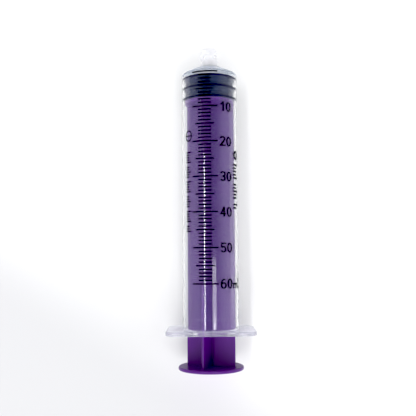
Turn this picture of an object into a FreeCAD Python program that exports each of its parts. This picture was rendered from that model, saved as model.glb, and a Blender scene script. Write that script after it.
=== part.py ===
"""A 60 mL enteral (oral) syringe: clear barrel, ribbed rubber gasket and cruciform plunger rod.

The syringe lies on its finger flange, with its axis along +Y and the tip towards +Y. The origin is
the centre of the bounding box's base: +X runs along the flange's long side and +Z is up, towards
the printed scale. Axial places are worked out as stations: distances from the zero mark of the
scale, positive towards the tip. Every length is in millimetres and every angle in degrees.
"""

import math
import os

import FreeCAD
import Part

from FreeCAD import Placement, Rotation, Vector

# --- driving dimensions -----------------------------------------------------------------------
BORE_R = 13.35
BARREL_WALL = 1.05
CAPACITY_ML = 60
ML = 1000.0

FLANGE_LENGTH = 45.0
FLANGE_DEPTH = 34.0
FLANGE_THICK = 2.1
FLANGE_CORNER_R = 5.5
FLANGE_EDGE_R = 0.45
FLANGE_FOOT_R = 0.9
FLANGE_BEHIND_SCALE = 23.2

SHOULDER_SLOPE = 27.0
SHOULDER_EDGE = 1.4
SHOULDER_EDGE_R = 1.2
CHAMBER_END = 0.4
ORIFICE_R = 1.45

TIP_CORE_R = 4.15
TIP_THREAD_R = 4.95
TIP_END = 15.2
TIP_SOCKET_R = 2.75
TIP_SOCKET_DEPTH = 7.0
TIP_LEAD_IN = 0.35
THREAD_STARTS = 2
THREAD_LEAD = 5.0
THREAD_TURNS = 1.0
THREAD_BELOW_END = 1.1
THREAD_ROOT_WIDTH = 1.4
THREAD_CREST_WIDTH = 0.65
THREAD_BURY = 0.2

BEAD_BEFORE_FLANGE = 5.0
BEAD_HEIGHT = 0.1
BEAD_HALF_WIDTH = 0.8
MOUTH_CHAMFER = 0.4

GASKET_FRONT = -0.75
GASKET_LENGTH = 12.0
GASKET_SLIDE_GAP = 0.02
GASKET_RIBS = 3
GASKET_RIB_WIDTH = 1.2
GASKET_GROOVE_R = 12.5
GASKET_RIB_SLANT = 0.9
GASKET_FRONT_CHAMFER = 0.3
SOCKET_MOUTH_R = 7.6
SOCKET_MOUTH_LENGTH = 2.6
SOCKET_R = 9.3
SOCKET_DEPTH = 9.4
SWIVEL_GAP = 0.15

ROD_DISC_R = 12.95
ROD_DISC_THICK = 1.5
FIN_R = 12.85
FIN_THICK = 1.3
FIN_ROOT_R = 0.4
FIN_EDGE_ROUND = 0.4
FIN_TURN = 18.8
FIN_BURY = 0.2
THUMB_R = 16.6
THUMB_THICK = 1.7
THUMB_EDGE_R = 0.5
THUMB_BEHIND_FLANGE = 16.4
THUMB_DISH_R = 14.4
THUMB_DISH_DEPTH = 0.25

INK_THICK = 0.06
INK_LINE = 0.7
SCALE_TURN = -10.7
HALF_TURN_10ML = 26.8
HALF_TURN_5ML = 19.4
HALF_TURN_1ML = 13.4
NUMERAL_TURN = 44.8
NUMERAL_HEIGHT = 5.0
NUMERAL_WIDTH = 3.4
NUMERAL_STROKE = 0.95
NUMERAL_THIN = 0.72
NUMERAL_PITCH = 3.75
UNIT_HEIGHT = 2.8
UNIT_M_WIDTH = 4.3
UNIT_L_WIDTH = 2.3
UNIT_M_PLACE = 2.15
UNIT_L_PLACE = 3.2
PRINT_WORD = 6
PRINT_TALL_EVERY = 4
PRINT_SHORT = 0.66
PRINT_DASH = 0.55
LEFT_PRINT_TURN = -48.5
LEFT_PRINT_HEIGHT = 3.4
LEFT_PRINT_PITCH = 1.25
LEFT_PRINT_DASHES = 33
LEFT_PRINT_START = -41.0
LEFT_RING_AT = -32.5
LEFT_RING_SIZE = (2.4, 2.9)
RIGHT_PRINT_TURN = 65.0
RIGHT_PRINT_HEIGHT = 4.8
RIGHT_PRINT_PITCH = 1.7
RIGHT_PRINT_DASHES = 14
RIGHT_PRINT_START = -47.0
RIGHT_DISC_AT = -42.0
RIGHT_DISC_SIZE = (2.2, 2.4)
RING_LINE = 0.55
DISC_LINE = 1.2

# --- sizes that follow from them --------------------------------------------------------------
BARREL_R = BORE_R + BARREL_WALL
AXIS_HEIGHT = FLANGE_DEPTH / 2
ML_STEP = ML / (math.pi * BORE_R**2)
SCALE_LENGTH = CAPACITY_ML * ML_STEP
SLOPE = math.tan(math.radians(SHOULDER_SLOPE))

FLANGE_FRONT = -(SCALE_LENGTH + FLANGE_BEHIND_SCALE)
FLANGE_REAR = FLANGE_FRONT - FLANGE_THICK
TIP_BASE = SHOULDER_EDGE + (BARREL_R - TIP_CORE_R) * SLOPE
ORIFICE_START = CHAMBER_END + (BORE_R - ORIFICE_R) * SLOPE
SOCKET_FLOOR = TIP_END - TIP_SOCKET_DEPTH
BEAD_AT = FLANGE_FRONT + BEAD_BEFORE_FLANGE
GASKET_REAR = GASKET_FRONT - GASKET_LENGTH
DISC_FRONT = GASKET_REAR - SWIVEL_GAP
DISC_REAR = DISC_FRONT - ROD_DISC_THICK
THUMB_FRONT = FLANGE_REAR - THUMB_BEHIND_FLANGE
THUMB_REAR = THUMB_FRONT - THUMB_THICK
MIDDLE = (TIP_END + THUMB_REAR) / 2

ALONG = Vector(0, 1, 0)
CENTRE = Vector(0, 0, 0)


# --- helpers ----------------------------------------------------------------------------------
def outline(points):
    """A closed wire through (radius, station) points; an entry of three numbers is the middle of
    an arc between its neighbours."""
    edges = []
    count = len(points)
    corners = [i for i in range(count) if len(points[i]) == 2]
    for n, i in enumerate(corners):
        j = corners[(n + 1) % len(corners)]
        start, end = Vector(*points[i], 0), Vector(*points[j], 0)
        between = (i + 1) % count
        if between == j:
            edges.append(Part.LineSegment(start, end).toShape())
        else:
            middle = Vector(*points[between][:2], 0)
            edges.append(Part.Arc(start, middle, end).toShape())
    return Part.Wire(edges)


def turned(points):
    """The solid that the outline sweeps in one full turn about the axis."""
    return Part.Face(outline(points)).revolve(CENTRE, ALONG, 360)


def at_angle(shape, angle):
    """The shape turned about the axis, from the top towards +X."""
    return shape.transformGeometry(Placement(CENTRE, Rotation(ALONG, angle)).toMatrix())


def arc_middle(centre, radius, angle):
    """A point of an arc for an outline: its third number marks it as an arc's middle."""
    a = math.radians(angle)
    return (centre[0] + radius * math.cos(a), centre[1] + radius * math.sin(a), 0)


# --- barrel -----------------------------------------------------------------------------------
def shoulder_round():
    """The rounded edge between the tube and the cone: its start, middle and end."""
    cut = SHOULDER_EDGE_R * math.tan(math.radians((90 - SHOULDER_SLOPE) / 2))
    start = (BARREL_R, SHOULDER_EDGE - cut)
    centre = (BARREL_R - SHOULDER_EDGE_R, SHOULDER_EDGE - cut)
    half = (90 - SHOULDER_SLOPE) / 2
    cone = math.radians(SHOULDER_SLOPE)
    end = (BARREL_R - cut * math.cos(cone), SHOULDER_EDGE + cut * math.sin(cone))
    return [start, arc_middle(centre, SHOULDER_EDGE_R, half), end]


def barrel_tube():
    """Tube, conical shoulder and tip, turned in one piece, with the bore, bead and socket."""
    foot = (BARREL_R + FLANGE_FOOT_R, FLANGE_FRONT + FLANGE_FOOT_R)
    points = [
        (BORE_R + MOUTH_CHAMFER, FLANGE_REAR),
        (BARREL_R + FLANGE_FOOT_R, FLANGE_REAR),
        (BARREL_R + FLANGE_FOOT_R, FLANGE_FRONT),
        arc_middle(foot, FLANGE_FOOT_R, 225),
        (BARREL_R, FLANGE_FRONT + FLANGE_FOOT_R),
        *shoulder_round(),
        (TIP_CORE_R, TIP_BASE),
        (TIP_CORE_R, TIP_END - TIP_LEAD_IN),
        (TIP_CORE_R - TIP_LEAD_IN, TIP_END),
        (TIP_SOCKET_R + TIP_LEAD_IN, TIP_END),
        (TIP_SOCKET_R, TIP_END - TIP_LEAD_IN),
        (TIP_SOCKET_R, SOCKET_FLOOR),
        (ORIFICE_R, SOCKET_FLOOR),
        (ORIFICE_R, ORIFICE_START),
        (BORE_R, CHAMBER_END),
        (BORE_R, BEAD_AT + BEAD_HALF_WIDTH),
        (BORE_R - BEAD_HEIGHT, BEAD_AT, 0),
        (BORE_R, BEAD_AT - BEAD_HALF_WIDTH),
        (BORE_R, FLANGE_REAR + MOUTH_CHAMFER),
    ]
    return turned(points)


def finger_flange():
    """A rounded rectangular plate across the axis, with rounded rims and a hole for the tube."""
    x, z, r = FLANGE_LENGTH / 2, FLANGE_DEPTH / 2, FLANGE_CORNER_R
    k = r * (1 - math.sqrt(0.5))
    edges = []
    for sx, sz in ((1, 1), (-1, 1), (-1, -1), (1, -1)):
        side = Vector(sx * x, 0, sz * (z - r))
        corner = Vector(sx * (x - k), 0, sz * (z - k))
        top = Vector(sx * (x - r), 0, sz * z)
        start, end = (side, top) if sx == sz else (top, side)
        if edges:
            edges.append(Part.LineSegment(edges[-1].Vertexes[-1].Point, start).toShape())
        edges.append(Part.Arc(start, corner, end).toShape())
    edges.append(Part.LineSegment(edges[-1].Vertexes[-1].Point, edges[0].Vertexes[0].Point).toShape())
    plate = Part.Face(Part.Wire(edges)).extrude(Vector(0, FLANGE_THICK, 0))
    rims = [e for e in plate.Edges if abs(e.tangentAt(e.FirstParameter).y) < 0.5]
    plate = plate.makeFillet(FLANGE_EDGE_R, rims)
    plate.translate(Vector(0, FLANGE_REAR, 0))
    below = Vector(0, FLANGE_REAR - FLANGE_THICK / 2, 0)
    hole = Part.makeCylinder(BARREL_R, 2 * FLANGE_THICK, below, ALONG)
    return plate.cut(hole)


def thread(start_angle):
    """One start of the tip's external thread: a trapezoid swept along a helix."""
    height = THREAD_LEAD * THREAD_TURNS
    helix = Part.makeHelix(THREAD_LEAD, height, TIP_CORE_R)
    half_root, half_crest = THREAD_ROOT_WIDTH / 2, THREAD_CREST_WIDTH / 2
    corners = [
        Vector(TIP_CORE_R - THREAD_BURY, 0, -half_root),
        Vector(TIP_THREAD_R, 0, -half_crest),
        Vector(TIP_THREAD_R, 0, half_crest),
        Vector(TIP_CORE_R - THREAD_BURY, 0, half_root),
    ]
    profile = Part.makePolygon(corners + corners[:1])
    ridge = Part.Wire(helix).makePipeShell([profile], True, True)
    ridge.rotate(CENTRE, Vector(1, 0, 0), -90)
    ridge.translate(Vector(0, TIP_END - THREAD_BELOW_END - height, 0))
    ridge.rotate(CENTRE, ALONG, start_angle)
    return ridge


def barrel():
    solid = barrel_tube().fuse(finger_flange()).removeSplitter()
    for n in range(THREAD_STARTS):
        solid = solid.fuse(thread(n * 360 / THREAD_STARTS))
    return solid


# --- printed scale ----------------------------------------------------------------------------
def ink_skin(low, high):
    """A thin sleeve on the barrel between two stations, from which printed shapes are cut."""
    outer = Part.makeCylinder(BARREL_R + INK_THICK, high - low, Vector(0, low, 0), ALONG)
    return outer.cut(Part.makeCylinder(BARREL_R, high - low, Vector(0, low, 0), ALONG))


def ink_line(station, half_turn, middle_turn, width=INK_LINE):
    """A printed line round the barrel, centred on an angle."""
    low, high = station - width / 2, station + width / 2
    patch = Part.Wire(
        Part.makePolygon(
            [
                Vector(0, low, BARREL_R),
                Vector(0, low, BARREL_R + INK_THICK),
                Vector(0, high, BARREL_R + INK_THICK),
                Vector(0, high, BARREL_R),
                Vector(0, low, BARREL_R),
            ]
        )
    )
    line = Part.Face(patch).revolve(CENTRE, ALONG, 2 * half_turn)
    return at_angle(line, middle_turn - half_turn)


def scale_marks(half_turn, volumes):
    return [ink_line(-v * ML_STEP, half_turn, SCALE_TURN) for v in volumes]


def bar(start, end, width):
    """A flat stroke between two points, as a prism that stands through the ink skin."""
    a, b = Vector(*start, 0), Vector(*end, 0)
    side = (b - a).normalize().cross(Vector(0, 0, 1)) * (width / 2)
    corners = [a + side, b + side, b - side, a - side, a + side]
    return Part.Face(Part.makePolygon(corners)).extrude(Vector(0, 0, 2 * BARREL_R))


def bow(centre, radii, first, last, width, thin=None):
    """A curved stroke of an ellipse, from one angle to another, anticlockwise; thin is its width at
    the top and bottom, where that differs."""
    tall = Vector(0, 0, 2 * BARREL_R)
    thin = thin or width

    def oval(rx, ry):
        wire = Part.Wire(Part.makeCircle(1.0))
        matrix = FreeCAD.Matrix()
        matrix.scale(rx, ry, 1)
        return Part.Face(wire.transformGeometry(matrix)).extrude(tall)

    ring = oval(radii[0], radii[1]).cut(oval(radii[0] - width, radii[1] - thin))
    if last - first < 360:
        reach = 3 * max(radii)
        steps = max(2, math.ceil((last - first) / 60))
        fan = [Vector(0, 0, 0)]
        for n in range(steps + 1):
            a = math.radians(first + (last - first) * n / steps)
            fan.append(Vector(reach * math.cos(a), reach * math.sin(a), 0))
        ring = ring.common(Part.Face(Part.makePolygon(fan + fan[:1])).extrude(tall))
    ring.translate(Vector(*centre, 0))
    return ring


def digit(value, w=NUMERAL_WIDTH, h=NUMERAL_HEIGHT, s=NUMERAL_STROKE, t=NUMERAL_THIN):
    """The strokes of one upright numeral, centred on its own origin: s is a stem's width and t a
    bar's."""
    x, y = w / 2 - s / 2, h / 2 - t / 2
    small = (w / 2, h * 0.28)
    large = (w / 2, h * 0.33)
    strokes = {
        0: lambda: [bow((0, 0), (w / 2, h / 2), 0, 360, s, t)],
        1: lambda: [
            bar((x * 0.4, -h / 2), (x * 0.4, h / 2), s),
            bar((x * 0.4, h / 2 - t * 0.6), (-x * 0.8, h / 2 - 2.2 * t), t),
        ],
        2: lambda: [
            bow((0, h / 2 - small[1]), small, -40, 170, s, t),
            bar((x * 0.85, h * 0.14), (-x * 0.75, -y + t * 0.2), s * 0.95),
            bar((-w / 2, -y), (w / 2, -y), t),
        ],
        3: lambda: [
            bow((0, h / 2 - small[1]), small, -90, 160, s, t),
            bow((0, -h / 2 + small[1]), small, -160, 90, s, t),
            bar((-x * 0.25, 0), (x * 0.5, 0), t),
        ],
        4: lambda: [
            bar((x * 0.45, -h / 2), (x * 0.45, h / 2), s),
            bar((-w / 2, -h * 0.2), (w / 2, -h * 0.2), t),
            bar((x * 0.3, h / 2 - t * 0.5), (-x * 0.9, -h * 0.2), t),
        ],
        5: lambda: [
            bar((-x * 0.8, y), (w * 0.44, y), t),
            bar((-x * 0.7, h / 2), (-x * 0.85, h * 0.02), t),
            bow((0, -h / 2 + large[1]), large, -155, 145, s, t),
        ],
        6: lambda: [
            bow((0, -h / 2 + large[1]), large, 0, 360, s, t),
            bow((w * 0.05, 0), (w * 0.55, h / 2), 70, 205, s, t),
        ],
    }[value]()
    return strokes[0].multiFuse(strokes[1:]) if len(strokes) > 1 else strokes[0]


def letter_m(w, h, s):
    """A small m: three stems under two arches."""
    gap = (w - s) / 2
    strokes = [bar((-w / 2 + s / 2, -h / 2), (-w / 2 + s / 2, h / 2), s)]
    for arches in range(2):
        left = -w / 2 + arches * gap
        arch = (left + (gap + s) / 2, h / 2 - (gap + s) / 2)
        strokes.append(bow(arch, ((gap + s) / 2, (gap + s) / 2), 0, 180, s))
        stem = left + gap + s / 2
        strokes.append(bar((stem, -h / 2), (stem, arch[1]), s))
    return strokes[0].multiFuse(strokes[1:])


def letter_l(w, h, s):
    """A capital L: one stem and one foot."""
    stem = bar((-w / 2 + s / 2, -h / 2), (-w / 2 + s / 2, h / 2), s)
    return stem.fuse(bar((-w / 2, -h / 2 + s / 2), (w / 2, -h / 2 + s / 2), s))


def printed(prism, station, turn, reach=4.0):
    """The prism's outline as ink on the barrel, at a station and an angle."""
    prism = prism.copy()
    prism.translate(Vector(0, station, 0))
    prism = at_angle(prism, turn)
    return prism.common(ink_skin(station - reach, station + reach)).Solids


def numeral_turn(place):
    """The angle of the n-th character of a numeral, the first at 0."""
    step = math.degrees(NUMERAL_PITCH / BARREL_R)
    return SCALE_TURN + NUMERAL_TURN + (place - 0.5) * step


def numerals():
    inks = []
    for tens in range(1, CAPACITY_ML // 10 + 1):
        station = -10 * tens * ML_STEP
        for place, value in enumerate((tens, 0)):
            inks += printed(digit(value), station, numeral_turn(place))
    return inks


def unit():
    """The mL after the last numeral, standing on the numeral's foot."""
    foot = -SCALE_LENGTH - (NUMERAL_HEIGHT - UNIT_HEIGHT) / 2
    small = letter_m(UNIT_M_WIDTH, UNIT_HEIGHT, NUMERAL_THIN)
    capital = letter_l(UNIT_L_WIDTH, NUMERAL_HEIGHT, NUMERAL_THIN)
    inks = printed(small, foot, numeral_turn(UNIT_M_PLACE))
    return inks + printed(capital, -SCALE_LENGTH, numeral_turn(UNIT_L_PLACE))


def dash_line(turn, start, count, pitch, height):
    """A line of plain dashes along the barrel, tall and short, in groups like words, in place of
    small print. They all stand on one base line."""
    inks = []
    for n in range(count):
        if n % PRINT_WORD == PRINT_WORD - 1:
            continue
        reach = height if n % PRINT_TALL_EVERY == 0 else height * PRINT_SHORT
        middle = turn - math.degrees((height - reach) / 2 / BARREL_R)
        half_turn = math.degrees(reach / 2 / BARREL_R)
        inks.append(ink_line(start - n * pitch, half_turn, middle, pitch * PRINT_DASH))
    return inks


def left_print():
    """A barred ring and a line of dashes on the barrel's -X side."""
    half_bar = LEFT_RING_SIZE[0] - RING_LINE / 2
    ring = bow((0, 0), LEFT_RING_SIZE, 0, 360, RING_LINE)
    ring = ring.fuse(bar((-half_bar, 0), (half_bar, 0), RING_LINE))
    dashes = dash_line(
        LEFT_PRINT_TURN, LEFT_PRINT_START, LEFT_PRINT_DASHES, LEFT_PRINT_PITCH, LEFT_PRINT_HEIGHT
    )
    return printed(ring, LEFT_RING_AT, LEFT_PRINT_TURN) + dashes


def right_print():
    """A thick ring and a line of dashes on the barrel's +X side."""
    disc = bow((0, 0), RIGHT_DISC_SIZE, 0, 360, DISC_LINE)
    dashes = dash_line(
        RIGHT_PRINT_TURN, RIGHT_PRINT_START, RIGHT_PRINT_DASHES, RIGHT_PRINT_PITCH, RIGHT_PRINT_HEIGHT
    )
    return printed(disc, RIGHT_DISC_AT, RIGHT_PRINT_TURN) + dashes


# --- gasket -----------------------------------------------------------------------------------
def gasket():
    """A rubber piston with a flat front, sealing ribs and an undercut socket at its back."""
    rib_r = BORE_R - GASKET_SLIDE_GAP
    pitch = (GASKET_LENGTH - GASKET_RIB_WIDTH) / (GASKET_RIBS - 1)
    points = [(0, GASKET_FRONT), (rib_r - GASKET_FRONT_CHAMFER, GASKET_FRONT)]
    for n in range(GASKET_RIBS):
        front = GASKET_FRONT - n * pitch
        rear = front - GASKET_RIB_WIDTH
        if n:
            points.append((GASKET_GROOVE_R, front + GASKET_RIB_SLANT))
            points.append((rib_r, front))
        else:
            points.append((rib_r, front - GASKET_FRONT_CHAMFER))
        points.append((rib_r, rear))
        if n < GASKET_RIBS - 1:
            points.append((GASKET_GROOVE_R, rear - GASKET_RIB_SLANT))
    lip = GASKET_REAR + SOCKET_MOUTH_LENGTH
    slant = SOCKET_R - SOCKET_MOUTH_R
    points += [
        (SOCKET_MOUTH_R, GASKET_REAR),
        (SOCKET_MOUTH_R, lip),
        (SOCKET_R, lip + slant * 0.5),
        (SOCKET_R, GASKET_REAR + SOCKET_DEPTH - slant),
        (SOCKET_R - slant, GASKET_REAR + SOCKET_DEPTH),
        (0, GASKET_REAR + SOCKET_DEPTH),
    ]
    return turned(points)


# --- plunger rod ------------------------------------------------------------------------------
def rod_head():
    """The collar disc behind the gasket and the undercut head that snaps into its socket."""
    neck = SOCKET_MOUTH_R - SWIVEL_GAP
    head = SOCKET_R - SWIVEL_GAP
    lip = GASKET_REAR + SOCKET_MOUTH_LENGTH + SWIVEL_GAP
    slant = head - neck
    crown = GASKET_REAR + SOCKET_DEPTH - SWIVEL_GAP
    return turned(
        [
            (0, DISC_REAR),
            (ROD_DISC_R, DISC_REAR),
            (ROD_DISC_R, DISC_FRONT),
            (neck, DISC_FRONT),
            (neck, lip),
            (head, lip + slant * 0.5),
            (head, crown - slant),
            (neck, crown),
            (0, crown),
        ]
    )


def fins():
    """Four long fins in a cross, with rounded roots and rounded outer edges."""
    long_side, thick, root = FIN_R, FIN_THICK / 2, FIN_ROOT_R
    inner = thick + root
    k = root * (1 - math.sqrt(0.5))
    edges = []
    last = None
    first = None
    for quarter in range(4):
        turn = Rotation(ALONG, -90 * quarter)
        a = turn.multVec(Vector(long_side - FIN_EDGE_ROUND, 0, -thick))
        b = turn.multVec(Vector(long_side, 0, 0))
        c = turn.multVec(Vector(long_side - FIN_EDGE_ROUND, 0, thick))
        d = turn.multVec(Vector(inner, 0, thick))
        e = turn.multVec(Vector(thick + k, 0, thick + k))
        f = turn.multVec(Vector(thick, 0, inner))
        if last is None:
            first = a
        else:
            edges.append(Part.LineSegment(last, a).toShape())
        edges.append(Part.Arc(a, b, c).toShape())
        edges.append(Part.LineSegment(c, d).toShape())
        edges.append(Part.Arc(d, e, f).toShape())
        last = f
    edges.append(Part.LineSegment(last, first).toShape())
    cross = Part.Face(Part.Wire(edges))
    cross = cross.extrude(Vector(0, DISC_REAR - THUMB_FRONT + 2 * FIN_BURY, 0))
    cross.translate(Vector(0, THUMB_FRONT - FIN_BURY, 0))
    return at_angle(cross, -FIN_TURN)


def thumb_plate():
    """A round plate with a rounded rim and a shallow dish on the side that the thumb presses."""
    round_front = (THUMB_R - THUMB_EDGE_R, THUMB_FRONT - THUMB_EDGE_R)
    round_rear = (THUMB_R - THUMB_EDGE_R, THUMB_REAR + THUMB_EDGE_R)
    return turned(
        [
            (0, THUMB_FRONT),
            (THUMB_R - THUMB_EDGE_R, THUMB_FRONT),
            arc_middle(round_front, THUMB_EDGE_R, 45),
            (THUMB_R, THUMB_FRONT - THUMB_EDGE_R),
            (THUMB_R, THUMB_REAR + THUMB_EDGE_R),
            arc_middle(round_rear, THUMB_EDGE_R, -45),
            (THUMB_R - THUMB_EDGE_R, THUMB_REAR),
            (THUMB_DISH_R, THUMB_REAR),
            (THUMB_DISH_R - THUMB_DISH_DEPTH, THUMB_REAR + THUMB_DISH_DEPTH),
            (0, THUMB_REAR + THUMB_DISH_DEPTH),
        ]
    )


def plunger_rod():
    return rod_head().fuse(fins()).fuse(thumb_plate()).removeSplitter()


# --- assembly ---------------------------------------------------------------------------------
def save(name, shape):
    """Writes one node, moved from stations on the axis to the part's own frame."""
    solids = shape if isinstance(shape, list) else shape.Solids
    placed = Part.makeCompound(solids) if len(solids) > 1 else solids[0].copy()
    placed.translate(Vector(0, -MIDDLE, AXIS_HEIGHT))
    box = placed.BoundBox
    print(
        f"{name}: {len(solids)} solids, valid {placed.isValid()}, volume {placed.Volume:.1f}, "
        f"y {box.YMin:.2f}..{box.YMax:.2f}, z {box.ZMin:.2f}..{box.ZMax:.2f}"
    )
    placed.exportStep(f"parts/{name}.step")


def main():
    os.makedirs("parts", exist_ok=True)
    ones = [v for v in range(CAPACITY_ML) if v % 5]
    fives = [v for v in range(CAPACITY_ML) if v % 10 == 5]
    tens = range(0, CAPACITY_ML + 1, 10)
    save("barrel", barrel())
    save("gasket", gasket())
    save("plunger_rod", plunger_rod())
    save("scale_marks_10ml", scale_marks(HALF_TURN_10ML, tens))
    save("scale_marks_5ml", scale_marks(HALF_TURN_5ML, fives))
    save("scale_marks_1ml", scale_marks(HALF_TURN_1ML, ones))
    save("scale_numerals", numerals())
    save("scale_unit", unit())
    save("side_print_left", left_print())
    save("side_print_right", right_print())


main()
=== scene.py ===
"""Looks for the 60 mL enteral syringe: finely turned barrel and gasket, materials, floor, light and camera.

Lengths are in metres, in the CAD frame: the syringe's axis runs along +Y with the tip at +Y, and +Z is
up. Places along the axis come from the boxes of the CAD nodes; the barrel's section repeats the CAD's.
"""

import math

import bmesh
import bpy
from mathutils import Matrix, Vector


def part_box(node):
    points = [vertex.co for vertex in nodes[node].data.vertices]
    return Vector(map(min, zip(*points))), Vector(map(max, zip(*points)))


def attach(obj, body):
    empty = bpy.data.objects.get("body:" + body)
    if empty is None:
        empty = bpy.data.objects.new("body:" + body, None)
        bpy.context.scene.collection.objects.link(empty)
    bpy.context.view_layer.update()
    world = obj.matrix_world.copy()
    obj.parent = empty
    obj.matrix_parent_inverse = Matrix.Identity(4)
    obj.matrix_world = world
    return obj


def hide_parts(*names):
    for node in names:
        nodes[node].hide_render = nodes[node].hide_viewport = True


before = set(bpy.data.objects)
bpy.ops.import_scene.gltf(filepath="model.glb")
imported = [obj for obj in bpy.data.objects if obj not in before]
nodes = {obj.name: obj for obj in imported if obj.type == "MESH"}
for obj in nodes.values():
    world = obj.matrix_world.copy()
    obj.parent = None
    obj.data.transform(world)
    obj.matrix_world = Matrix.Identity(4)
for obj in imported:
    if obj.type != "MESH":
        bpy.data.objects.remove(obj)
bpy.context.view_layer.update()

MM = 0.001

# --- places read from the frame ----------------------------------------------------------------
barrel_low, barrel_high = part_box("barrel")
gasket_low, gasket_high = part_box("gasket")
marks_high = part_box("scale_marks_10ml")[1]
AXIS_Z = (barrel_low.z + barrel_high.z) / 2
INK_WIDTH = 0.7 * MM
ZERO_Y = marks_high.y - INK_WIDTH / 2
FLANGE_REAR_Y = barrel_low.y
TIP_END_Y = barrel_high.y

# --- barrel ------------------------------------------------------------------------------------
SEGMENTS = 288
ARC_STEPS = 6
THREAD_STEPS = 96
TUBE_R = 14.4 * MM
BORE_R = 13.35 * MM
FLANGE_HALF = (barrel_high.x, AXIS_Z - barrel_low.z)
FLANGE_THICK = 2.1 * MM
FLANGE_CORNER_R = 5.5 * MM
FLANGE_EDGE_R = 0.45 * MM
FLANGE_FOOT_R = 0.9 * MM
FLANGE_FRONT_Y = FLANGE_REAR_Y + FLANGE_THICK
MOUTH_CHAMFER = 0.4 * MM
BEAD_Y = FLANGE_FRONT_Y + 5.0 * MM
BEAD_HEIGHT = 0.1 * MM
BEAD_HALF_WIDTH = 0.8 * MM
BEAD_FLANK = 0.7
SHOULDER_SLOPE = 27.0
SHOULDER_EDGE_Y = ZERO_Y + 1.4 * MM
SHOULDER_EDGE_R = 1.2 * MM
CHAMBER_END_Y = ZERO_Y + 0.4 * MM
ORIFICE_R = 1.45 * MM
TIP_CORE_R = 4.15 * MM
TIP_SOCKET_R = 2.75 * MM
TIP_SOCKET_DEPTH = 7.0 * MM
TIP_LEAD_IN = 0.35 * MM
THREAD_R = 4.95 * MM
THREAD_STARTS = 2
THREAD_LEAD = 5.0 * MM
THREAD_END_Y = TIP_END_Y - 1.1 * MM
THREAD_BURY = 0.2 * MM
THREAD_ROOT_WIDTH = 1.4 * MM
THREAD_CREST_WIDTH = 0.65 * MM
SUPPORT = 0.08 * MM
LONG_STRETCH = 6 * SUPPORT
SMOOTH_UNDER = math.radians(32.0)
TINY = 1e-9

# --- gasket ------------------------------------------------------------------------------------
LIPS = 3
LIP_WIDTH = 1.15 * MM
LIP_SQUEEZE = 0.03 * MM
LIP_FLARE = 0.9 * MM
LIP_EDGE = 0.15 * MM
GROOVE_R = 12.5 * MM
GROOVE_BOW = -0.18
FRONT_CHAMFER = 0.5 * MM
REAR_CHAMFER = 0.6 * MM

# --- clear plastic: how much of it is milk, by place --------------------------------------------
PLASTIC_IOR = 1.49
CLEAR_TINT = (0.955, 0.95, 0.935, 1)
CLEAR_SHADOW = (0.93, 0.93, 0.94, 1)
CLEAR_ROUGHNESS = (0.045, 0.06)
CLEAR_FLOW_ALONG = 18.0
MILK_ROUGHNESS = 0.7
WALL_MILK = 0.004
BORE_MILK = 0.07
BORE_MILK_FADE = (0.2 * MM, 0.5 * MM)
TIP_MILK = 0.8
TIP_MILK_RISE = (-2 * MM, 5 * MM)
FLANGE_MILK = 0.2
FLANGE_MILK_FADE = (0.1 * MM, 0.5 * MM)
MILK_IN_BORE = (0.52, 0.70, 0.96)
MILK_AT_TIP = (0.87, 0.87, 0.89)
MILK_AT_FLANGE = (0.66, 0.66, 0.80)

# --- the other materials ------------------------------------------------------------------------
FLOW_ACROSS = 160.0
NOISE_SPREAD = (0.3, 0.7)
PURPLES = ((0.072, 0.004, 0.166), (0.090, 0.007, 0.200))
PURPLE_ROUGHNESS = (0.34, 0.40)
PURPLE_SPREAD = (0.2, 0.8)
PURPLE_FLOW_ALONG = 14.0
PURPLE_GRAIN = 2600.0
PURPLE_GRAIN_STRENGTH = 0.08
PURPLE_GRAIN_DEPTH = 0.02 * MM
RUBBERS = ((0.003, 0.003, 0.036), (0.005, 0.005, 0.048))
RUBBER_ROUGHNESS = (0.30, 0.42)
RUBBER_SPECULAR = 0.05
RUBBER_CLOUD = 130.0
RUBBER_GRAIN = 1800.0
RUBBER_GRAIN_STRENGTH = 0.10
RUBBER_GRAIN_DEPTH = 0.03 * MM
INKS = ((0.0015, 0.0015, 0.004), (0.006, 0.006, 0.012))
INK_ROUGHNESS = (0.55, 0.8)
INK_SPECULAR = 0.08
INK_SPECKLE = 3000.0

# --- camera ------------------------------------------------------------------------------------
CAMERA_LENS_MM = 54.16
CAMERA_SENSOR_MM = 36.0
CAMERA_CLIP_START = 0.01
CAMERA_BEHIND_ZERO = 96.5 * MM
CAMERA_OVER_AXIS = 323.8 * MM
CAMERA_LEFT_OF_AXIS = 1.31 * MM
CAMERA_TILT = math.radians(4.95)
CAMERA_TURN = math.radians(-0.394)

# --- floor: white, greyed on one side by painted shade, over distances from the object's origin ---
FLOOR_SIZE = 8.0
FLOOR_WHITE = (0.94, 0.94, 0.94)
# painted shade: the grey the floor turns to on one side, standing in for light that falls off there
FLOOR_PAINTED_SHADE = (0.675, 0.675, 0.688)
FLOOR_ROUGHNESS = (0.6, 0.75)
FLOOR_SPECULAR = 0.2
FLOOR_GRAIN = 700.0
FALL_TOWARDS = (-0.6, -1.0, 0.0)
FALL_START = -0.025
FALL_END = 0.055
RISE_START = 0.12
RISE_END = 0.5

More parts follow.
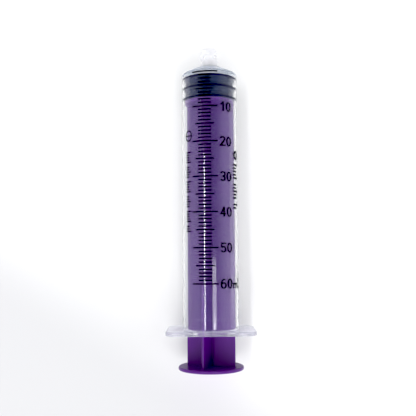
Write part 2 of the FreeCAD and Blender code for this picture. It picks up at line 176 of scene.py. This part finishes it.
# --- light: lamps over the syringe, turned about its axis, and a soft sky ------------------------
KEY_DISTANCE = 1.0
KEY_TURN = math.radians(-23.6)
KEY_SIZE = (0.034, 0.42)
KEY_BEHIND_ZERO = 0.08
KEY_WATTS = 1.15
FILL_DISTANCE = 1.05
FILL_TURN = math.radians(15.0)
FILL_SIZE = (0.28, 0.2)
FILL_BEHIND_ZERO = 0.19
FILL_WATTS = 0.42
GLINT_DISTANCE = 1.0
GLINT_SIZE = (0.16, 0.05)
GLINT_BEHIND_ZERO = 0.235
GLINT_WATTS = 0.08
FRONT_DISTANCE = 1.1
FRONT_TURN = math.radians(16.0)
FRONT_SIZE = (0.35, 0.3)
FRONT_BEHIND_ZERO = 0.55
FRONT_WATTS = 0.9
SKY_COLOUR = (0.985, 0.99, 1.0, 1)
SKY_SEEN = 1.0
SKY_BAND = 0.05
SKY_TIP_END = 0.55
SKY_THUMB_END = 1.6
SKY_SIDES = 0.42
TIP_END_FROM = (0.3, 0.8)
THUMB_END_FROM = (-0.1, -0.6)
SIDES_FROM = (0.4, 1.0)

# --- finish of the picture: deeper blacks and clean whites -------------------------------------
BLACK_LEVEL = 0.016
WHITE_LEVEL = 0.65


# --- small helpers -----------------------------------------------------------------------------
class Tree:
    """A node tree with short calls to add nodes and links."""

    def __init__(self, tree):
        self.tree = tree
        self.tree.nodes.clear()

    def add(self, kind, inputs=None, **settings):
        node = self.tree.nodes.new(kind)
        for name, value in settings.items():
            setattr(node, name, value)
        for name, value in (inputs or {}).items():
            socket = node.inputs[name]
            if isinstance(value, bpy.types.NodeSocket):
                self.tree.links.new(value, socket)
            else:
                socket.default_value = value
        return node


def new_material(name):
    material = bpy.data.materials.new(name)
    material.use_nodes = True
    return material, Tree(material.node_tree)


def object_coordinates(tree):
    return tree.add("ShaderNodeTexCoord").outputs["Object"]


def noise(tree, scale, detail=4.0, roughness=0.5, coordinates=None):
    """A noise pattern's value, in the object's own metres."""
    vector = coordinates or object_coordinates(tree)
    made = tree.add(
        "ShaderNodeTexNoise",
        {"Vector": vector, "Scale": scale, "Detail": detail, "Roughness": roughness},
    )
    return made.outputs["Fac"]


def remap(tree, value, low, high, start=0.0, end=1.0, smooth=False):
    """The value, moved from start..end to low..high and kept there."""
    made = tree.add(
        "ShaderNodeMapRange",
        {"Value": value, "From Min": start, "From Max": end, "To Min": low, "To Max": high},
        interpolation_type="SMOOTHSTEP" if smooth else "LINEAR",
    )
    return made.outputs["Result"]


def two_colours(tree, factor, first, second):
    """A blend from the first colour to the second; either may be another blend."""
    colours = [c if isinstance(c, bpy.types.NodeSocket) else (*c, 1) for c in (first, second)]
    sockets = {0: factor, 6: colours[0], 7: colours[1]}
    return tree.add("ShaderNodeMix", sockets, data_type="RGBA").outputs[2]


def bump(tree, height, strength, distance):
    made = tree.add("ShaderNodeBump", {"Height": height, "Strength": strength, "Distance": distance})
    return made.outputs["Normal"]


def finish_tree(tree, shader):
    tree.add("ShaderNodeOutputMaterial", {"Surface": shader})


def stretched(tree, across, along):
    """Coordinates that squeeze a pattern across the axis and draw it out along it."""
    scale = (across, along, across)
    made = tree.add("ShaderNodeMapping", {"Vector": object_coordinates(tree), "Scale": scale})
    return made.outputs["Vector"]


# --- materials ---------------------------------------------------------------------------------
def clear_polypropylene():
    """Clear plastic with a faint milk on the bore's surface and more at the tip and the flange, where the
    moulding is thick. Shadow rays pass nearly straight through, so lamps light what is inside."""
    material, tree = new_material("clear_polypropylene")
    place = object_coordinates(tree)
    along = tree.add("ShaderNodeSeparateXYZ", {0: place}).outputs["Y"]
    offset = tree.add("ShaderNodeVectorMath", {0: place, 1: (0, 0, AXIS_Z)}, operation="SUBTRACT")
    across = tree.add("ShaderNodeVectorMath", {0: offset.outputs[0], 1: (1, 0, 1)}, operation="MULTIPLY")
    radius = tree.add("ShaderNodeVectorMath", {0: across.outputs[0]}, operation="LENGTH").outputs["Value"]
    flow = noise(tree, 1.0, 3.0, 0.55, stretched(tree, FLOW_ACROSS, CLEAR_FLOW_ALONG))

    bore_fade = [BORE_R + depth for depth in BORE_MILK_FADE]
    tip_rise = [SHOULDER_EDGE_Y + reach for reach in TIP_MILK_RISE]
    flange_fade = [FLANGE_FRONT_Y + reach for reach in FLANGE_MILK_FADE]
    bore = remap(tree, radius, BORE_MILK, WALL_MILK, *bore_fade)
    tip = remap(tree, along, 0.0, TIP_MILK, *tip_rise, smooth=True)
    flange = remap(tree, along, FLANGE_MILK, 0.0, *flange_fade)
    ends = tree.add("ShaderNodeMath", {0: tip, 1: flange}, operation="MAXIMUM").outputs[0]
    milky = tree.add("ShaderNodeMath", {0: ends, 1: bore}, operation="MAXIMUM").outputs[0]
    sheen = remap(tree, flow, *CLEAR_ROUGHNESS, *NOISE_SPREAD)
    rough = tree.add(
        "ShaderNodeMath", {0: ends, 1: MILK_ROUGHNESS, 2: sheen}, operation="MULTIPLY_ADD"
    ).outputs[0]

    glass = tree.add(
        "ShaderNodeBsdfPrincipled",
        {
            "Base Color": CLEAR_TINT,
            "Roughness": rough,
            "IOR": PLASTIC_IOR,
            "Transmission Weight": 1.0,
        },
    )
    flange_share = remap(tree, flange, 0.0, 1.0, 0.0, FLANGE_MILK)
    tip_share = remap(tree, tip, 0.0, 1.0, 0.0, TIP_MILK)
    wall_colour = two_colours(tree, flange_share, MILK_IN_BORE, MILK_AT_FLANGE)
    milk_colour = two_colours(tree, tip_share, wall_colour, MILK_AT_TIP)
    back = tree.add("ShaderNodeBsdfDiffuse", {"Color": milk_colour})
    onward = tree.add("ShaderNodeBsdfTranslucent", {"Color": milk_colour})
    milk = tree.add("ShaderNodeMixShader", {0: 0.5, 1: back.outputs[0], 2: onward.outputs[0]})
    plastic = tree.add("ShaderNodeMixShader", {0: milky, 1: glass.outputs[0], 2: milk.outputs[0]})
    clear = tree.add("ShaderNodeBsdfTransparent", {"Color": CLEAR_SHADOW})
    path = tree.add("ShaderNodeLightPath")
    shader = tree.add(
        "ShaderNodeMixShader",
        {0: path.outputs["Is Shadow Ray"], 1: plastic.outputs[0], 2: clear.outputs[0]},
    )
    finish_tree(tree, shader.outputs[0])
    return material


def purple_plastic():
    """Deep purple polypropylene, satin, with faint flow marks along the rod."""
    material, tree = new_material("purple_polypropylene")
    flow = noise(tree, 1.0, 2.0, 0.5, stretched(tree, FLOW_ACROSS, PURPLE_FLOW_ALONG))
    grain = noise(tree, PURPLE_GRAIN, 2.0)
    shader = tree.add(
        "ShaderNodeBsdfPrincipled",
        {
            "Base Color": two_colours(tree, flow, *PURPLES),
            "Roughness": remap(tree, flow, *PURPLE_ROUGHNESS, *PURPLE_SPREAD),
            "IOR": PLASTIC_IOR,
            "Normal": bump(tree, grain, PURPLE_GRAIN_STRENGTH, PURPLE_GRAIN_DEPTH),
        },
    )
    finish_tree(tree, shader.outputs[0])
    return material


def gasket_rubber():
    """Oiled navy-black rubber."""
    material, tree = new_material("gasket_rubber")
    grain = noise(tree, RUBBER_GRAIN, 3.0)
    cloud = noise(tree, RUBBER_CLOUD, 3.0)
    shader = tree.add(
        "ShaderNodeBsdfPrincipled",
        {
            "Base Color": two_colours(tree, cloud, *RUBBERS),
            "Roughness": remap(tree, cloud, *RUBBER_ROUGHNESS, *NOISE_SPREAD),
            "Specular IOR Level": RUBBER_SPECULAR,
            "Normal": bump(tree, grain, RUBBER_GRAIN_STRENGTH, RUBBER_GRAIN_DEPTH),
        },
    )
    finish_tree(tree, shader.outputs[0])
    return material


def black_ink():
    """Printed black ink, a little uneven, with a dull sheen."""
    material, tree = new_material("black_ink")
    speckle = noise(tree, INK_SPECKLE, 3.0)
    shader = tree.add(
        "ShaderNodeBsdfPrincipled",
        {
            "Base Color": two_colours(tree, speckle, *INKS),
            "Roughness": remap(tree, speckle, *INK_ROUGHNESS, *NOISE_SPREAD),
            "Specular IOR Level": INK_SPECULAR,
        },
    )
    finish_tree(tree, shader.outputs[0])
    return material


def pale_floor_with_painted_shade():
    """A plain pale surface with painted shade: it turns a little greyer to one side of the syringe, where
    the light is taken to fall off, and then white again.
    """
    material, tree = new_material("pale_floor")
    place = object_coordinates(tree)
    # painted shade: the floor's colour greys towards one side of the syringe and whitens again further out,
    # in place of light falling off
    across = tree.add("ShaderNodeVectorMath", {0: place, 1: FALL_TOWARDS}, operation="DOT_PRODUCT")
    fall = remap(tree, across.outputs["Value"], 0.0, 1.0, FALL_START, FALL_END, smooth=True)
    rise = remap(tree, across.outputs["Value"], 1.0, 0.0, RISE_START, RISE_END, smooth=True)
    near = tree.add("ShaderNodeMath", {0: fall, 1: rise}, operation="MULTIPLY").outputs[0]
    shader = tree.add(
        "ShaderNodeBsdfPrincipled",
        {
            "Base Color": two_colours(tree, near, FLOOR_WHITE, FLOOR_PAINTED_SHADE),
            "Roughness": remap(tree, noise(tree, FLOOR_GRAIN, 3.0), *FLOOR_ROUGHNESS),
            "Specular IOR Level": FLOOR_SPECULAR,
        },
    )
    finish_tree(tree, shader.outputs[0])
    return material


# --- pieces ------------------------------------------------------------------------------------
def ring(radius, y):
    """Points round the syringe's axis; with no radius, one point on it."""
    if radius < SUPPORT:
        return [(0, y, AXIS_Z)]
    angles = [2 * math.pi * n / SEGMENTS for n in range(SEGMENTS)]
    return [(radius * math.sin(a), y, AXIS_Z + radius * math.cos(a)) for a in angles]


def flange_ring(inset, y):
    """Points round the flange's outline, a rounded rectangle, a little inside it."""
    half = Vector(FLANGE_HALF)
    points = []
    for n in range(SEGMENTS):
        a = 2 * math.pi * n / SEGMENTS
        way = Vector((math.sin(a), math.cos(a)))
        reach = min(half[i] / max(abs(way[i]), TINY) for i in range(2))
        edge = way * reach
        out = Vector((0, math.copysign(1, way.y)))
        if abs(edge.x) > half.x - TINY:
            out = Vector((math.copysign(1, way.x), 0))
        centre = Vector([math.copysign(half[i] - FLANGE_CORNER_R, way[i]) for i in range(2)])
        if min(abs(edge[i]) - abs(centre[i]) for i in range(2)) > 0:
            along = way.dot(centre)
            edge = way * (along + math.sqrt(along**2 - centre.length_squared + FLANGE_CORNER_R**2))
            out = (edge - centre).normalized()
        edge -= out * inset
        points.append((edge.x, y, AXIS_Z + edge.y))
    return points


def bow(centre, radius, first, last):
    """Points of an arc; its angles are in degrees, 0 outwards from the axis and 90 towards the tip."""
    steps = range(ARC_STEPS + 1)
    angles = [math.radians(first + (last - first) * n / ARC_STEPS) for n in steps]
    return [(centre[0] + radius * math.cos(a), centre[1] + radius * math.sin(a)) for a in angles]


def supported(profile):
    """The profile with a point close to each end of its long stretches, which keeps them straight."""
    points = [profile[0]]
    for one, two in zip(profile, profile[1:]):
        start, end = Vector(one), Vector(two)
        length = (end - start).length
        if length > LONG_STRETCH:
            shares = (SUPPORT / length, 1 - SUPPORT / length)
            points += [tuple(start.lerp(end, share)) for share in shares]
        points.append(two)
    return points


def skin(name, rings, closed=False):
    """A body whose surface runs from ring to ring, and from the last to the first if closed."""
    mesh = bmesh.new()
    loops = [[mesh.verts.new(point) for point in points] for points in rings]
    pairs = list(zip(loops, loops[1:]))
    if closed:
        pairs.append((loops[-1], loops[0]))
    for one, two in pairs:
        count = max(len(one), len(two))
        for n in range(count):
            m = (n + 1) % count
            near, far = [one[k % len(one)] for k in (n, m)], [two[k % len(two)] for k in (m, n)]
            corners = near + far
            mesh.faces.new(list(dict.fromkeys(corners)))
    bmesh.ops.recalc_face_normals(mesh, faces=mesh.faces)
    data = bpy.data.meshes.new(name)
    mesh.to_mesh(data)
    mesh.free()
    data.shade_smooth()
    data.set_sharp_from_angle(angle=SMOOTH_UNDER)
    made = bpy.data.objects.new(name, data)
    bpy.context.scene.collection.objects.link(made)
    return made


def fused(base, others):
    """Fuses the other bodies into the base, and removes them."""
    for other in others:
        modifier = base.modifiers.new("fuse", "BOOLEAN")
        modifier.operation = "UNION"
        modifier.solver = "EXACT"
        modifier.object = other
    shape = base.evaluated_get(bpy.context.evaluated_depsgraph_get())
    data = bpy.data.meshes.new_from_object(shape)
    base.modifiers.clear()
    base.data = data
    for other in others:
        bpy.data.objects.remove(other)
    data.shade_smooth()
    data.set_sharp_from_angle(angle=SMOOTH_UNDER)


def barrel_wall():
    """The barrel's section on both sides of its wall, from the flange's front to its rear."""
    cone = math.radians(SHOULDER_SLOPE)
    half = (90 - SHOULDER_SLOPE) / 2
    cut = SHOULDER_EDGE_R * math.tan(math.radians(half))
    tip_base = SHOULDER_EDGE_Y + (TUBE_R - TIP_CORE_R) * math.tan(cone)
    orifice = CHAMBER_END_Y + (BORE_R - ORIFICE_R) * math.tan(cone)
    socket = TIP_END_Y - TIP_SOCKET_DEPTH
    foot = (TUBE_R + FLANGE_FOOT_R, FLANGE_FRONT_Y + FLANGE_FOOT_R)
    edge = (TUBE_R - SHOULDER_EDGE_R, SHOULDER_EDGE_Y - cut)
    return [
        *bow(foot, FLANGE_FOOT_R, 270, 180),
        *bow(edge, SHOULDER_EDGE_R, 0, 90 - SHOULDER_SLOPE),
        (TIP_CORE_R, tip_base),
        (TIP_CORE_R, TIP_END_Y - TIP_LEAD_IN),
        (TIP_CORE_R - TIP_LEAD_IN, TIP_END_Y),
        (TIP_SOCKET_R + TIP_LEAD_IN, TIP_END_Y),
        (TIP_SOCKET_R, TIP_END_Y - TIP_LEAD_IN),
        (TIP_SOCKET_R, socket),
        (ORIFICE_R, socket),
        (ORIFICE_R, orifice),
        (BORE_R, CHAMBER_END_Y),
        (BORE_R, BEAD_Y + BEAD_HALF_WIDTH),
        (BORE_R - BEAD_HEIGHT * BEAD_FLANK, BEAD_Y + BEAD_HALF_WIDTH / 2),
        (BORE_R - BEAD_HEIGHT, BEAD_Y),
        (BORE_R - BEAD_HEIGHT * BEAD_FLANK, BEAD_Y - BEAD_HALF_WIDTH / 2),
        (BORE_R, BEAD_Y - BEAD_HALF_WIDTH),
        (BORE_R, FLANGE_REAR_Y + MOUTH_CHAMFER),
        (BORE_R + MOUTH_CHAMFER, FLANGE_REAR_Y),
    ]


def flange_rim():
    """The rings round the flange's rounded edge, from its rear face to its front face."""
    r = FLANGE_EDGE_R
    rings = [flange_ring(r + 2 * SUPPORT, FLANGE_REAR_Y)]
    for inset, y in bow((0, FLANGE_REAR_Y + r), r, 270, 360):
        rings.append(flange_ring(r - inset, y))
    for inset, y in bow((0, FLANGE_FRONT_Y - r), r, 0, 90):
        rings.append(flange_ring(r - inset, y))
    rings.append(flange_ring(r + 2 * SUPPORT, FLANGE_FRONT_Y))
    return rings


def thread_ridge(start):
    """One start of the tip's thread: a trapezoid carried once round a helix, its foot in the tip."""
    root, crest = THREAD_ROOT_WIDTH / 2, THREAD_CREST_WIDTH / 2
    foot = TIP_CORE_R - THREAD_BURY
    section = [(foot, -root), (THREAD_R, -crest), (THREAD_R, crest), (foot, root)]
    rings = []
    for n in range(THREAD_STEPS + 1):
        a = start + 2 * math.pi * n / THREAD_STEPS
        y = THREAD_END_Y - THREAD_LEAD * (1 - n / THREAD_STEPS)
        rings.append([(r * math.sin(a), y + dy, AXIS_Z + r * math.cos(a)) for r, dy in section])
    made = skin("ridge", rings)
    shape = bmesh.new()
    shape.from_mesh(made.data)
    bmesh.ops.holes_fill(shape, edges=[edge for edge in shape.edges if edge.is_boundary])
    bmesh.ops.recalc_face_normals(shape, faces=shape.faces)
    shape.to_mesh(made.data)
    shape.free()
    return made


def clear_barrel():
    """The barrel, turned finely enough that its walls bend light without facets."""
    rings = [ring(r, y) for r, y in supported(barrel_wall())]
    made = skin("clear_barrel", rings + flange_rim(), closed=True)
    starts = [math.pi / 2 + 2 * math.pi * n / THREAD_STARTS for n in range(THREAD_STARTS)]
    fused(made, [thread_ridge(start) for start in starts])
    made.data.materials.append(clear_polypropylene())
    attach(made, "barrel")
    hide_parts("barrel")


def bowed(start, end):
    """Points from start to end, bowed to one side by a share of their distance."""
    a, b = Vector(start), Vector(end)
    side = (b - a).orthogonal() * GROOVE_BOW
    shares = [n / ARC_STEPS for n in range(ARC_STEPS + 1)]
    return [tuple(a.lerp(b, share) + side * math.sin(math.pi * share)) for share in shares]


def rubber_gasket():
    """The rubber piston, with thin flared lips that the bore squeezes flat."""
    lip_r = BORE_R + LIP_SQUEEZE
    front, rear = gasket_high.y, gasket_low.y
    pitch = (front - rear - LIP_WIDTH) / (LIPS - 1)
    profile = [(0, front), (lip_r - FRONT_CHAMFER, front)]
    for n in range(LIPS):
        lead = front - n * pitch
        tail = lead - LIP_WIDTH
        if n:
            profile += bowed((GROOVE_R, lead + LIP_FLARE), (lip_r, lead))
        profile += [(lip_r, lead - LIP_EDGE), (lip_r, tail + LIP_EDGE)]
        if n < LIPS - 1:
            profile += bowed((lip_r, tail), (GROOVE_R, tail - LIP_FLARE))
    profile += [(lip_r - REAR_CHAMFER, rear), (0, rear)]
    made = skin("rubber_gasket", [ring(r, y) for r, y in profile])
    made.data.materials.append(gasket_rubber())
    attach(made, "gasket")
    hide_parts("gasket")


def use(material, *names):
    for name in names:
        data = nodes[name].data
        data.materials.clear()
        data.materials.append(material)


# --- stage -------------------------------------------------------------------------------------
def floor():
    """A plane that the flange's long edge rests on, and the tube at the scale's zero mark."""
    slope = math.atan2(AXIS_Z - TUBE_R - barrel_low.z, ZERO_Y - FLANGE_REAR_Y)
    bpy.ops.mesh.primitive_plane_add(size=FLOOR_SIZE, location=(0, FLANGE_REAR_Y, barrel_low.z))
    plane = bpy.context.object
    plane.name = "floor"
    plane.rotation_euler = (slope, 0, 0)
    plane.data.materials.append(pale_floor_with_painted_shade())


def area_light(name, turn, distance, size, behind_zero, watts):
    """A rectangular lamp over the syringe, turned about its axis, aimed at it."""
    data = bpy.data.lights.new(name, "AREA")
    data.shape = "RECTANGLE"
    data.size, data.size_y = size
    data.energy = watts
    lamp = bpy.data.objects.new(name, data)
    lamp.location = (
        distance * math.sin(turn),
        ZERO_Y - behind_zero,
        AXIS_Z + distance * math.cos(turn),
    )
    lamp.rotation_euler = (0, turn, 0)
    bpy.context.scene.collection.objects.link(lamp)


def sky():
    """Soft white light from beyond both ends of the syringe and from low on both sides, with a dim band
    overhead. The camera sees it as an even pale backdrop."""
    world = bpy.data.worlds.new("studio")
    world.use_nodes = True
    bpy.context.scene.world = world
    tree = Tree(world.node_tree)
    way = tree.add("ShaderNodeSeparateXYZ", {0: tree.add("ShaderNodeTexCoord").outputs["Generated"]})
    across = tree.add("ShaderNodeMath", {0: way.outputs["X"]}, operation="ABSOLUTE")
    tip_end = remap(tree, way.outputs["Y"], SKY_BAND, SKY_TIP_END, *TIP_END_FROM, smooth=True)
    thumb_end = remap(tree, way.outputs["Y"], 0.0, SKY_THUMB_END, *THUMB_END_FROM, smooth=True)
    sides = remap(tree, across.outputs[0], 0.0, SKY_SIDES, *SIDES_FROM, smooth=True)
    ends = tree.add("ShaderNodeMath", {0: tip_end, 1: thumb_end}, operation="ADD")
    both = tree.add("ShaderNodeMath", {0: ends.outputs[0], 1: sides}, operation="ADD")
    lit = tree.add("ShaderNodeBackground", {"Color": SKY_COLOUR, "Strength": both.outputs[0]})
    seen = tree.add("ShaderNodeBackground", {"Color": (1, 1, 1, 1), "Strength": SKY_SEEN})
    path = tree.add("ShaderNodeLightPath")
    mixed = tree.add(
        "ShaderNodeMixShader",
        {0: path.outputs["Is Camera Ray"], 1: lit.outputs[0], 2: seen.outputs[0]},
    )
    tree.add("ShaderNodeOutputWorld", {"Surface": mixed.outputs[0]})


def camera():
    data = bpy.data.cameras.new("camera")
    data.lens = CAMERA_LENS_MM
    data.sensor_width = CAMERA_SENSOR_MM
    data.clip_start = CAMERA_CLIP_START
    made = bpy.data.objects.new("camera", data)
    made.location = (-CAMERA_LEFT_OF_AXIS, ZERO_Y - CAMERA_BEHIND_ZERO, AXIS_Z + CAMERA_OVER_AXIS)
    made.rotation_euler = (CAMERA_TILT, 0, CAMERA_TURN)
    bpy.context.scene.collection.objects.link(made)
    bpy.context.scene.camera = made


def picture_finish():
    view = bpy.context.scene.view_settings
    view.view_transform = "Standard"
    view.use_curve_mapping = True
    view.curve_mapping.black_level = (BLACK_LEVEL,) * 3
    view.curve_mapping.white_level = (WHITE_LEVEL,) * 3


# --- assembly ----------------------------------------------------------------------------------
clear_barrel()
rubber_gasket()
use(purple_plastic(), "plunger_rod")
use(
    black_ink(),
    "scale_marks_10ml",
    "scale_marks_5ml",
    "scale_marks_1ml",
    "scale_numerals",
    "scale_unit",
    "side_print_left",
    "side_print_right",
)

picture_finish()
camera()
sky()
floor()
area_light("key", KEY_TURN, KEY_DISTANCE, KEY_SIZE, KEY_BEHIND_ZERO, KEY_WATTS)
area_light("fill", FILL_TURN, FILL_DISTANCE, FILL_SIZE, FILL_BEHIND_ZERO, FILL_WATTS)
area_light("glint", FILL_TURN, GLINT_DISTANCE, GLINT_SIZE, GLINT_BEHIND_ZERO, GLINT_WATTS)
area_light("front", FRONT_TURN, FRONT_DISTANCE, FRONT_SIZE, FRONT_BEHIND_ZERO, FRONT_WATTS)
